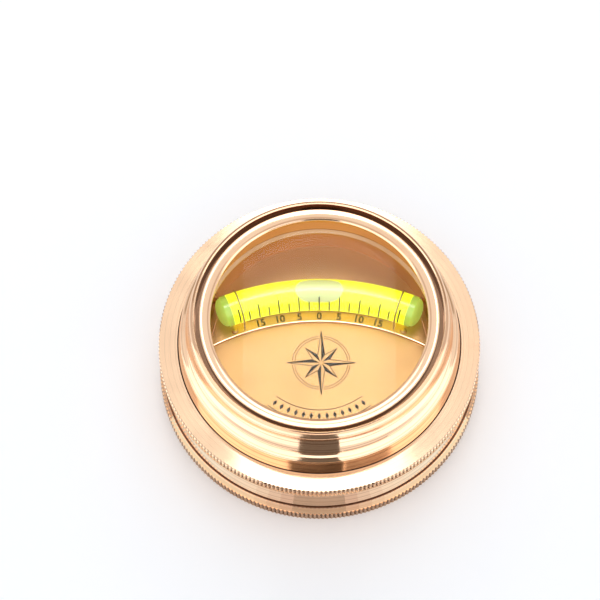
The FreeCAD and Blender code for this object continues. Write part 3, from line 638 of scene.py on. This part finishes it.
tube_work = bent(TUBE_RADIUS, HALF_LENGTH)
add_to(tube_work, bent(BORE_RADIUS, HALF_LENGTH))
rims = [edge for edge in tube_work.edges if edge.is_boundary]
for side in (-1, 1):
    bmesh.ops.bridge_loops(tube_work, edges=[edge for edge in rims if edge.verts[0].co.x * side > 0])
tube_glass = clear("tube_glass", (0.97, 0.99, 0.95), 1.47)
keep("vial_tube", tube_work, [tube_glass], "base", ["vial_tube"])

# Spirit
# Fluorescent yellow spirit that fills the bore from seal to seal, poured in before the second
# seal is set
SPIRIT_RADIUS = 3.15
SEAL_LENGTH = 1.6
spirit_work = bent(SPIRIT_RADIUS, HALF_LENGTH - SEAL_LENGTH)
ends = [edge for edge in spirit_work.edges if edge.is_boundary]
bmesh.ops.holes_fill(spirit_work, edges=ends, sides=0)
spirit, spirit_tree, spirit_shader = new_material("spirit")
spirit_place = node(spirit_tree, "ShaderNodeTexCoord").outputs["Object"]
spirit_clouds = spread(spirit_tree, noise(spirit_tree, spirit_place, 60), 0, 1)
spirit_colour = blend(spirit_tree, spirit_clouds, (0.92, 0.95, 0.03), (0.98, 0.96, 0.06))
spirit_tree.links.new(spirit_colour, spirit_shader.inputs["Base Color"])
# The spirit is fluorescent, but its colour is also used as emission: a painted glow that keeps it bright
# whatever light falls on it
spirit_tree.links.new(spirit_colour, spirit_shader.inputs["Emission Color"])
spirit_shader.inputs["Emission Strength"].default_value = 0.6
spirit_shader.inputs["Roughness"].default_value = 0.08
spirit_shader.inputs["IOR"].default_value = 1.36
spirit_shader.inputs["Transmission Weight"].default_value = 0.35
keep("vial_liquid", spirit_work, [spirit], "base", ["vial_liquid"])

# Air bubble
# A long lens of air left at the top of the bore: round at its ends and flat underneath. Its colour is a
# painted highlight, pale where it faces the eye and darker towards its rim, with a little painted glow.
BUBBLE_RADIUS = 3.18
BUBBLE_HALF_WIDTH = 2.7
BUBBLE_HALF_LENGTH = 5.6
bubble_work = bmesh.new()
bmesh.ops.create_uvsphere(bubble_work, u_segments=64, v_segments=48, radius=1)
for vert in bubble_work.verts:
    lengthwise = max(-1, min(1, vert.co.z))
    sphere_width = math.sqrt(max(1e-12, 1 - lengthwise ** 2))
    half_width = BUBBLE_HALF_WIDTH * math.sqrt(max(0, 1 - lengthwise ** 4))
    outward = half_width * max(-1, min(1, vert.co.y / sphere_width))
    ceiling = math.sqrt(BUBBLE_RADIUS ** 2 - outward ** 2)
    level = math.sqrt(BUBBLE_RADIUS ** 2 - half_width ** 2)
    height = ceiling if vert.co.x >= 0 else level
    vert.co = on_arc(ARC_RADIUS + outward, lengthwise * BUBBLE_HALF_LENGTH, TUBE_HEIGHT + height)
air, air_tree, air_shader = new_material("air")
# Painted highlight and rim shade: pale where the bubble faces the eye, dark towards its edge
painted_rim_shade = node(air_tree, "ShaderNodeLayerWeight")
painted_rim_shade.inputs["Blend"].default_value = 0.45
painted_bubble_highlight = blend(air_tree, painted_rim_shade.outputs["Facing"], (0.95, 0.97, 0.42), (0.36, 0.34, 0.03))
air_tree.links.new(painted_bubble_highlight, air_shader.inputs["Base Color"])
air_tree.links.new(painted_bubble_highlight, air_shader.inputs["Emission Color"])
air_shader.inputs["Emission Strength"].default_value = 0.25
air_shader.inputs["Roughness"].default_value = 0.04
air_shader.inputs["IOR"].default_value = 1.2
keep("vial_bubble", bubble_work, [air], "bubble", ["vial_bubble"], sharp=60)

# Degree lines of the tube
# Fine dark lines painted across the near half of the glass, every two and a half degrees; every
# second one reaches further up. Leans are in degrees from the tube's top towards the near side
LINE_STEP = 2.5
LINES_EACH_SIDE = 8
LINE_HALF_WIDTH = 0.17
LINE_RADIUS = TUBE_RADIUS + 0.012
LONG_LEAN = 32
SHORT_LEAN = 50
LINE_END = 96
line_work = bmesh.new()
half_turn = math.degrees(LINE_HALF_WIDTH / ARC_RADIUS)
for line in range(-LINES_EACH_SIDE, LINES_EACH_SIDE + 1):
    start = SHORT_LEAN if line % 2 else LONG_LEAN
    painted = bmesh.ops.create_grid(line_work, x_segments=1, y_segments=8, size=1)
    for vert in painted["verts"]:
        lean = math.radians(start + (LINE_END - start) * (vert.co.y + 1) / 2)
        bearing = line * LINE_STEP + half_turn * vert.co.x
        vert.co = on_arc(ARC_RADIUS - LINE_RADIUS * math.sin(lean), bearing,
                         TUBE_HEIGHT + LINE_RADIUS * math.cos(lean))
keep("tube_lines", line_work, [black_wax], "base")

# Seals, cement bed and binding wires
# Yellow-green resin cast in the tube's ends, pale cement under the tube and fine soft brass wire
# over it, its ends bent under the dial
resin = plain("resin", (0.66, 0.80, 0.12), (0.52, 0.70, 0.10), 0.3, 300)
# The resin's emission is a painted glow that lifts the seals where they sit in shade
resin_shader = resin.node_tree.nodes["Principled BSDF"]
resin_shader.inputs["Emission Color"].default_value = (0.45, 0.62, 0.08, 1)
resin_shader.inputs["Emission Strength"].default_value = 0.5
wire = plain("wire", (0.72, 0.58, 0.30), (0.60, 0.46, 0.24), 0.35, 1500, metal=1.0)
dress("vial_bed", plain("cement", (0.62, 0.42, 0.16), (0.50, 0.33, 0.12), 0.7, 900))
for end in ("left", "right"):
    dress("vial_seal_" + end, resin)
    dress("vial_tie_" + end, wire)

# Dial's retaining ring
# Threaded brass ring that holds the dial down; its bevelled collar is the bright wall seen round
# the dial
HOLDER_BORE = 28.3
HOLDER_RADIUS = 33.55
COLLAR_RADIUS = 30.6
COLLAR_TOP = 21.2
COLLAR_BEVEL = (0.8, 0.7)
FINE_EDGE = 0.1
holder_work = lathe([
    (HOLDER_BORE, DIAL_TOP),
    (HOLDER_RADIUS, DIAL_TOP),
    (HOLDER_RADIUS, SPIGOT_TOP, CRISP_EDGE),
    (COLLAR_RADIUS, SPIGOT_TOP),
    (COLLAR_RADIUS, COLLAR_TOP, CRISP_EDGE),
    (HOLDER_BORE + COLLAR_BEVEL[0], COLLAR_TOP, FINE_EDGE),
    (HOLDER_BORE, COLLAR_TOP - COLLAR_BEVEL[1], FINE_EDGE),
])
holder_brass = brass("holder_brass", (0.72, 0.42, 0.23), (0.58, 0.32, 0.17), 0.12, 0.22, 0.002)
keep("dial_retaining_ring", holder_work, [holder_brass], "base",
     ["dial_retaining_ring"])

# Joint washer
# Thin red-brown vulcanised fibre between base and cover, punched from sheet; the dark line round
# the side
WASHER_BORE = 37.25
WASHER_RADIUS = 39.15
WASHER_THICKNESS = 0.4
washer_top = JOINT_HEIGHT + WASHER_THICKNESS
washer_work = lathe([
    (WASHER_BORE, JOINT_HEIGHT),
    (WASHER_RADIUS, JOINT_HEIGHT),
    (WASHER_RADIUS, washer_top),
    (WASHER_BORE, washer_top),
])
fibre = plain("fibre", (0.045, 0.014, 0.008), (0.025, 0.009, 0.006), 0.6, 900)
keep("case_gasket", washer_work, [fibre], "base", ["case_gasket"])

# Cover
# One brass casting, turned and polished bright: the skirt screws down over the spigot, and above
# it come the flange with its knurled edge and the moulded neck, which fine grooves part into
# wall, bead, waist and crest
SKIRT_BORE = 37.1
SKIRT_FOOT = 6.45
SKIRT_RADIUS = 39.5
SKIRT_TOP = (SKIRT_RADIUS, 13.6)
FLANGE_COVE = 2.2
FLANGE_RADIUS = 40.0
FLANGE_FOOT = (FLANGE_RADIUS, 15.0)
FLANGE_TOP = 18.0
FLANGE_BEVEL = 0.25
ROOT_GROOVE = ((35.3, FLANGE_TOP), (35.2, 17.85), (35.12, 18.1))
WALL = ((35.1, 18.3), (34.43, 22.5))
WALL_GROOVE = ((34.4, 22.66), (34.26, 22.72), (34.4, 22.8))
BEAD_BOW = 2.3
BEAD_TOP = (33.3, 24.6)
BEAD_COVE = 0.9
WAIST_GROOVE = ((32.85, 25.5), (32.66, 25.6), (32.78, 25.72))
WAIST_BOW = 20.0
WAIST_TOP = (31.6, 31.25)
CREST_GROOVE = ((31.62, 31.35), (31.47, 31.45), (31.62, 31.55))
CREST_BOW = 1.8
CREST_TOP = (30.5, 33.2)
CREST_BEVEL = 0.25
SEAT_BORE = 30.2
BEZEL_BORE = 30.3
BEZEL_THREAD_TOP = 31.0
SEAT_TOP = 26.1
SIGHT_BORE = 28.9
CEILING = 21.7
ROOM_RADIUS = 31.1
ROOM_FLOOR = 15.2
cover_work = lathe([
    (SKIRT_BORE, SKIRT_FOOT),
    (SKIRT_RADIUS, SKIRT_FOOT, CRISP_EDGE),
    SKIRT_TOP,
    *bow(SKIRT_TOP, FLANGE_FOOT, FLANGE_COVE, -1, 8),
    FLANGE_FOOT,
    (FLANGE_RADIUS, FLANGE_FOOT[1] + 2 * TOOTH_MARGIN),
    (FLANGE_RADIUS, FLANGE_TOP - FLANGE_BEVEL),
    (FLANGE_RADIUS - FLANGE_BEVEL, FLANGE_TOP),
    (FLANGE_RADIUS - TOOTH_DEPTH - MARGIN, FLANGE_TOP),
    (ROOT_GROOVE[0][0] + 0.1, FLANGE_TOP),
    *ROOT_GROOVE,
    *WALL,
    *WALL_GROOVE,
    *bow(WALL_GROOVE[-1], BEAD_TOP, BEAD_BOW, 1, 14),
    BEAD_TOP,
    *bow(BEAD_TOP, WAIST_GROOVE[0], BEAD_COVE, -1, 8),
    *WAIST_GROOVE,
    *bow(WAIST_GROOVE[-1], WAIST_TOP, WAIST_BOW, -1, 20),
    WAIST_TOP,
    *CREST_GROOVE,
    *bow(CREST_GROOVE[-1], CREST_TOP, CREST_BOW, 1, 14),
    (*CREST_TOP, FINE_EDGE),
    (SEAT_BORE, CREST_TOP[1] - CREST_BEVEL, FINE_EDGE),
    (SEAT_BORE, BEZEL_THREAD_TOP + 0.1),
    (BEZEL_BORE, BEZEL_THREAD_TOP),
    (BEZEL_BORE, SEAT_TOP),
    (SIGHT_BORE, SEAT_TOP, CRISP_EDGE),
    (SIGHT_BORE, CEILING, CRISP_EDGE),
    (ROOM_RADIUS, CEILING),
    (ROOM_RADIUS, ROOM_FLOOR, SOFT_EDGE),
    (SKIRT_BORE, ROOM_FLOOR),
    *reversed(thread(SKIRT_BORE, -THREAD_DEPTH)),
], 2 * TEETH)
knurled(cover_work, FLANGE_RADIUS, FLANGE_FOOT[1] + TOOTH_MARGIN, FLANGE_TOP + TOOTH_MARGIN)
GROOVE_BAND = 2
FINE_GROOVE_BAND = 3
band(cover_work, TEETH_BAND, (FLANGE_RADIUS - TOOTH_DEPTH - MARGIN, FLANGE_RADIUS + MARGIN),
     (FLANGE_FOOT[1] + 2 * TOOTH_MARGIN, FLANGE_TOP - TOOTH_MARGIN))
band(cover_work, GROOVE_BAND, (SEAT_BORE - MARGIN, BEZEL_BORE + MARGIN), (SEAT_TOP + MARGIN, 32.9))
# The fine grooves get the same dark brown as painted shade
for groove in (ROOT_GROOVE, WALL_GROOVE):
    radii, heights = zip(*groove)
    band(cover_work, FINE_GROOVE_BAND, (min(radii), max(radii)), (min(heights), max(heights)))
# The flange's teeth get painted shade towards their root, and the groove between neck and bezel gets painted
# shade towards its bottom
flange_teeth = brass("flange_teeth", **POLISH, painted_shade=("X", FLANGE_RADIUS - TOOTH_DEPTH, 39.95))
groove_brass = brass("groove_brass", **POLISH, painted_shade=("Z", 32.4, 33.3))
keep("cover_ring", cover_work, [polished_brass, flange_teeth, groove_brass, oxide_and_crevice_shade], "cover",
     ["cover_ring"])

# Glass and the rings round it
# Flat clear glass with ground edges, laid on a black rubber ring in the cover and under a thin
# fibre ring that lets the bezel turn on it
GLASS_RADIUS = 30.0
GLASS_FOOT = 26.6
GLASS_TOP = 28.6
GROUND_EDGE = 0.2
glass_work = lathe([
    (0, GLASS_FOOT),
    (GLASS_RADIUS - GROUND_EDGE, GLASS_FOOT),
    (GLASS_RADIUS, GLASS_FOOT + GROUND_EDGE),
    (GLASS_RADIUS, GLASS_TOP - GROUND_EDGE),
    (GLASS_RADIUS - GROUND_EDGE, GLASS_TOP),
    (0, GLASS_TOP),
])
window_glass = clear("window_glass", (0.985, 0.995, 0.99), 1.16)
keep("crystal", glass_work, [window_glass], "glazing", ["crystal"])
dress("crystal_gasket", plain("rubber", (0.02, 0.02, 0.02), (0.012, 0.012, 0.012), 0.7, 900))
dress("crystal_slip_ring", fibre)

# Bezel
# Brass ring screwed down over the glass, turned and polished like the cover; its lip slopes in to the sight
# edge, and the groove lies between it and the neck. The bezel's wall down in that groove is dark with
# painted shade.
BEZEL_FOOT = 28.85
BEZEL_RADIUS = 30.25
LIP_RADIUS = 29.15
LIP_TOP = 32.24
LIP_EDGE = 0.12
LIP_BOW = 4.5
LIP_CREST = (29.0, 32.3)
SIGHT_EDGE = (26.4, 31.6)
SIGHT_EDGE_THICKNESS = 0.4
SIGHT_BEVEL = (27.3, 30.3)
GROOVE_SHADE_TOP = 32.15
GROOVE_SHADE_BAND = 1
bezel_work = lathe([
    (SIGHT_BEVEL[0], BEZEL_FOOT),
    (BEZEL_RADIUS, BEZEL_FOOT),
    (BEZEL_RADIUS, BEZEL_THREAD_TOP),
    (LIP_RADIUS, BEZEL_THREAD_TOP),
    (LIP_RADIUS, LIP_TOP, LIP_EDGE),
    LIP_CREST,
    *bow(LIP_CREST, SIGHT_EDGE, LIP_BOW, 1, 14),
    (*SIGHT_EDGE, FINE_EDGE),
    (SIGHT_EDGE[0], SIGHT_EDGE[1] - SIGHT_EDGE_THICKNESS),
    SIGHT_BEVEL,
])
# The bezel's wall down in the groove gets painted shade
band(bezel_work, GROOVE_SHADE_BAND, (LIP_RADIUS - MARGIN, BEZEL_RADIUS + MARGIN), (BEZEL_FOOT + MARGIN, GROOVE_SHADE_TOP))
keep("glass_bezel", bezel_work, [polished_brass, groove_brass], "cover",
     ["glass_bezel"])

# Table
# Plain pale table top that shows white to the camera and keeps the object's soft shadow; to
# everything else it is a plain warm grey
table_stuff, table_tree, table_shader = new_material("table")
table_path = node(table_tree, "ShaderNodeLightPath")
table_colour = blend(table_tree, table_path.outputs["Is Camera Ray"], (0.66, 0.60, 0.54), (0.99, 0.992, 1.0))
table_tree.links.new(table_colour, table_shader.inputs["Base Color"])
table_shader.inputs["Roughness"].default_value = 0.8
table_shader.inputs["Specular IOR Level"].default_value = 0.1
floor_work = bmesh.new()
bmesh.ops.create_grid(floor_work, x_segments=1, y_segments=1, size=3)
floor_mesh = bpy.data.meshes.new("floor")
floor_work.to_mesh(floor_mesh)
floor_work.free()
floor_mesh.materials.append(table_stuff)
floor = bpy.data.objects.new("floor", floor_mesh)
scene.collection.objects.link(floor)

# White surroundings
# Even light from all round, a little blue as from a window; the camera, metal and glass see
# plain white
surroundings = bpy.data.worlds.new("surroundings")
scene.world = surroundings
surroundings.use_nodes = True
sky = surroundings.node_tree
sky.nodes.clear()
sky_path = node(sky, "ShaderNodeLightPath")
seen = math_node(sky, "MAXIMUM", math_node(sky, "MAXIMUM", sky_path.outputs["Is Camera Ray"],
                                           sky_path.outputs["Is Glossy Ray"]),
                 sky_path.outputs["Is Transmission Ray"])
ambient = node(sky, "ShaderNodeBackground")
ambient.inputs["Color"].default_value = (0.93, 0.96, 1.0, 1)
ambient.inputs["Strength"].default_value = 0.93
white = node(sky, "ShaderNodeBackground")
white.inputs["Color"].default_value = (1, 1, 1, 1)
white.inputs["Strength"].default_value = 1.0
choice = node(sky, "ShaderNodeMixShader")
sky_output = node(sky, "ShaderNodeOutputWorld")
sky.links.new(seen, choice.inputs[0])
sky.links.new(ambient.outputs[0], choice.inputs[1])
sky.links.new(white.outputs[0], choice.inputs[2])
sky.links.new(choice.outputs[0], sky_output.inputs["Surface"])

# Softboxes
# A long one behind and above that the flat brass and the dial mirror, and a wide one behind;
# neither shows to the camera


def toward(azimuth, elevation):
    """The direction from the object; azimuth 0 is the camera's side and grows to the right."""
    flat, rise = math.radians(azimuth), math.radians(elevation)
    return Vector((math.sin(flat) * math.cos(rise), -math.cos(flat) * math.cos(rise), math.sin(rise)))


def softbox(name, azimuth, elevation, distance, width, height, glow):
    """A soft lamp that faces the object, so many metres off; its power follows from its size."""
    panel = bpy.data.lights.new(name, "AREA")
    panel.shape = "RECTANGLE"
    panel.size = width
    panel.size_y = height
    panel.energy = glow * 4 * width * height
    lamp = bpy.data.objects.new(name, panel)
    lamp.location = TARGET + toward(azimuth, elevation) * distance
    lamp.rotation_euler = toward(azimuth, elevation).to_track_quat("Z", "Y").to_euler()
    lamp.visible_camera = False
    scene.collection.objects.link(lamp)


softbox("top_strip", 180, 69, 0.8, 0.10, 0.38, 2.6)
softbox("back_panel", 180, 38, 0.95, 1.0, 0.30, 1.2)

# Boards that only reflections show
# Bright boards round the front, dark ones where the camera stands, brown ones low behind and a
# warm glow on the table round the foot


def board(name, azimuths, lower, upper, glow, tint=(1, 1, 1)):
    """Part of a cone round the object; lower and upper are (distance, height) in metres."""
    work = bmesh.new()
    bmesh.ops.create_grid(work, x_segments=24, y_segments=2, size=1)
    for vert in work.verts:
        azimuth = math.radians(azimuths[0] + (azimuths[1] - azimuths[0]) * (vert.co.x + 1) / 2)
        share = (vert.co.y + 1) / 2
        distance = lower[0] + (upper[0] - lower[0]) * share
        height = lower[1] + (upper[1] - lower[1]) * share
        vert.co = Vector((math.sin(azimuth) * distance, -math.cos(azimuth) * distance, height))
    mesh = bpy.data.meshes.new(name)
    work.to_mesh(mesh)
    work.free()
    stuff = bpy.data.materials.new(name)
    stuff.use_nodes = True
    tree = stuff.node_tree
    tree.nodes.clear()
    shine = node(tree, "ShaderNodeEmission")
    shine.inputs["Color"].default_value = (*tint, 1)
    shine.inputs["Strength"].default_value = glow
    tree.links.new(shine.outputs[0], node(tree, "ShaderNodeOutputMaterial").inputs["Surface"])
    mesh.materials.append(stuff)
    screen = bpy.data.objects.new(name, mesh)
    screen.visible_camera = False
    screen.visible_diffuse = False
    screen.visible_shadow = False
    screen.visible_transmission = False
    scene.collection.objects.link(screen)


TABLE_BOARD = 0.0015
ROOM_EDGE = 0.5
BRIGHT = 1.9
for side_name, azimuths in (("left", (-95, -11)), ("right", (11, 95))):
    board("table_near_" + side_name, azimuths, (0.050, TABLE_BOARD), (0.064, TABLE_BOARD), BRIGHT)
    board("table_middle_" + side_name, azimuths, (0.064, TABLE_BOARD), (0.094, TABLE_BOARD), 1.05)
    board("table_far_" + side_name, azimuths, (0.094, TABLE_BOARD), (ROOM_EDGE, TABLE_BOARD), BRIGHT)
board("table_back", (95, 265), (0.052, TABLE_BOARD), (0.6, TABLE_BOARD), 1.0)
board("front_wall", (-95, 95), (ROOM_EDGE, 0), (ROOM_EDGE, 0.92), BRIGHT)

FOOT_GLOWS = 12
GLOW_START = 10
GLOW_STEP = 5
GLOW_HEIGHT = 0.0008
for step in range(FOOT_GLOWS):
    share = step / (FOOT_GLOWS - 1)
    rise = min(1, 4 * share)
    tint = (0.6 + 0.2 * rise, 0.5 + 0.22 * rise + 0.2 * share, 0.45 + 0.2 * rise + 0.2 * share)
    start = GLOW_START + GLOW_STEP * step
    for side_name, side in (("left", -1), ("right", 1)):
        board("foot_glow_%s_%d" % (side_name, step), (side * start, side * (start + GLOW_STEP)),
              (0.0412, GLOW_HEIGHT), (0.050, GLOW_HEIGHT), 1.25, tint)

DARK_TINT = (1, 0.85, 0.75)
CAMERA_REACH = 0.46
board("camera_table", (-11, 11), (0.050, TABLE_BOARD), (ROOM_EDGE, TABLE_BOARD), 0.18, DARK_TINT)
board("camera_foot", (-11, 11), (CAMERA_REACH, 0), (CAMERA_REACH, 0.26), 0.18, DARK_TINT)
board("camera_body", (-20, 16), (CAMERA_REACH, 0.47), (CAMERA_REACH, 1.0), 0.12, DARK_TINT)
board("camera_arm", (17, 48), (CAMERA_REACH, 0.50), (CAMERA_REACH, 0.76), 0.45, (1, 0.9, 0.85))
board("back_low", (120, 240), (0.6, 0), (0.6, 0.17), 0.5, (1, 0.86, 0.72))
board("back_middle", (120, 240), (0.6, 0.17), (0.6, 0.34), 0.75, (1, 0.9, 0.8))
